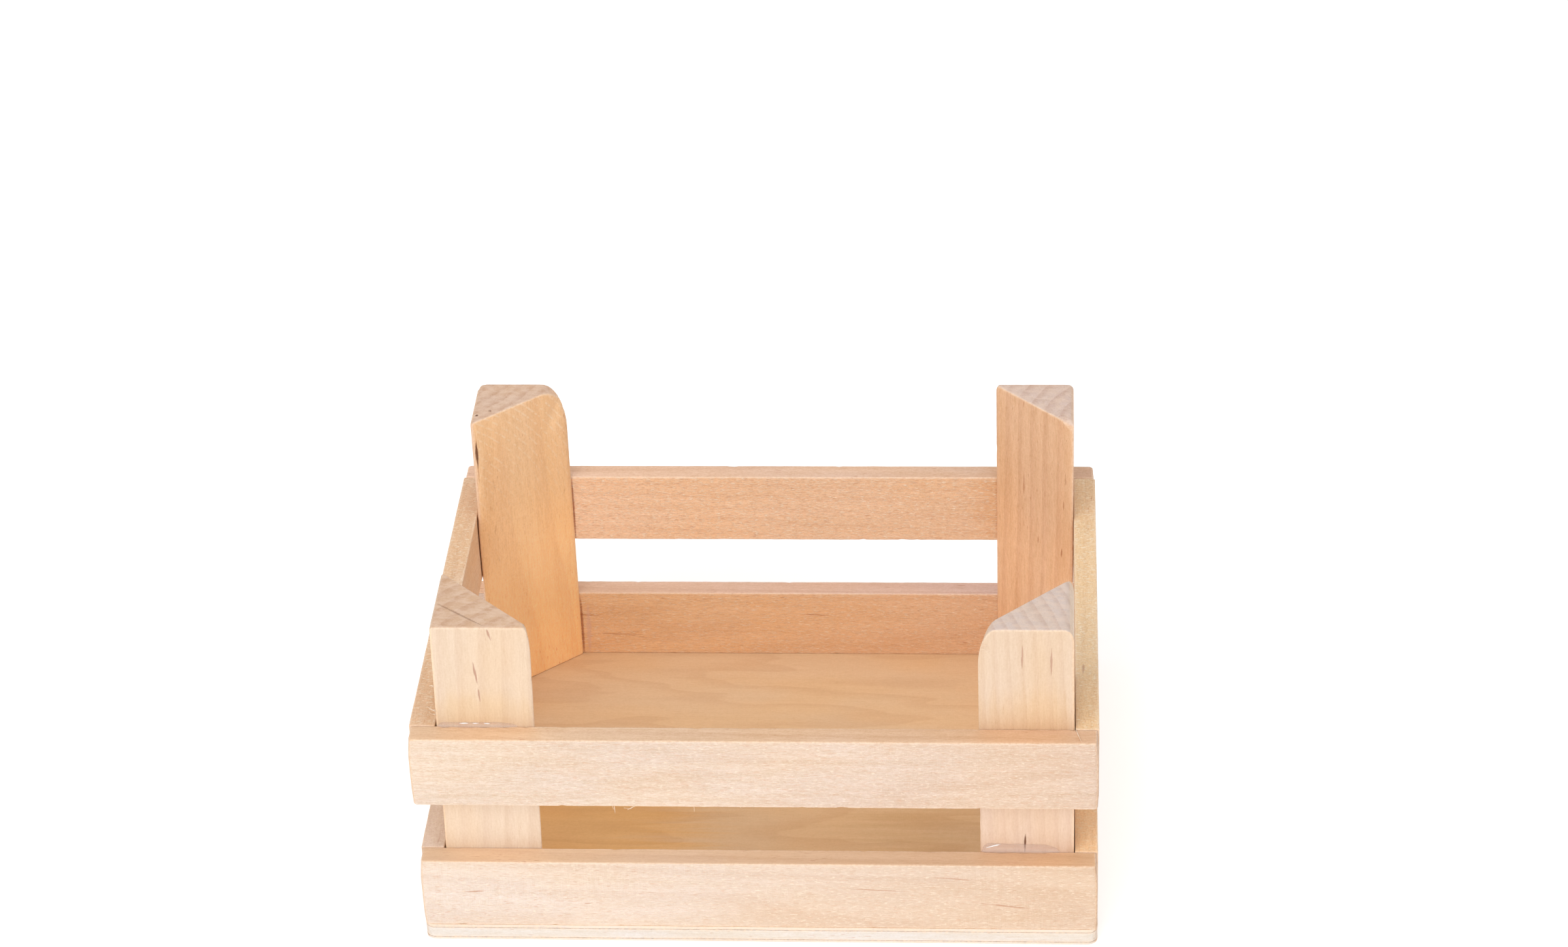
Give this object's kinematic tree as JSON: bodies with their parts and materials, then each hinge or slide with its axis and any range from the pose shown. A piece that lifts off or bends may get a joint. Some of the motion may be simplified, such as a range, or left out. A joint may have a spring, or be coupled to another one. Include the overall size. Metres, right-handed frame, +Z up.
{
  "type": "slatted fruit crate",
  "caption": "Small open wooden slatted fruit crate with a plywood base, triangular corner posts and two rings of slats.",
  "frame": {"origin": "centre of the underside of the base", "axes": "+X along the length to the right seen from the front, +Y from front to back, +Z up"},
  "size_m": [0.13, 0.095, 0.0706],
  "materials": {
    "slat_wood": "bare sanded pale hardwood, matt, fine grain along the slat",
    "post_wood": "bare sanded pale hardwood, matt, grain upright, end grain on top",
    "base_veneer": "bare sanded rotary-cut veneer, matt",
    "base_core": "bare plywood core, seen as a pale band at the edge",
    "glue": "dried clear wood glue, glossy"
  },
  "bodies": {
    "root": {"base_bottom_ply": "base_veneer", "base_core_ply": "base_core", "base_top_ply": "base_veneer", "post_front_left": "post_wood", "post_front_right": "post_wood", "post_back_left": "post_wood", "post_back_right": "post_wood", "lower_front_slat": "slat_wood", "lower_back_slat": "slat_wood", "lower_left_slat": "slat_wood", "lower_right_slat": "slat_wood", "upper_front_slat": "slat_wood", "upper_back_slat": "slat_wood", "upper_left_slat": "slat_wood", "upper_right_slat": "slat_wood", "glue_front_left": "glue", "glue_front_right": "glue", "glue_back_left": "glue"}
  },
  "joints": []
}
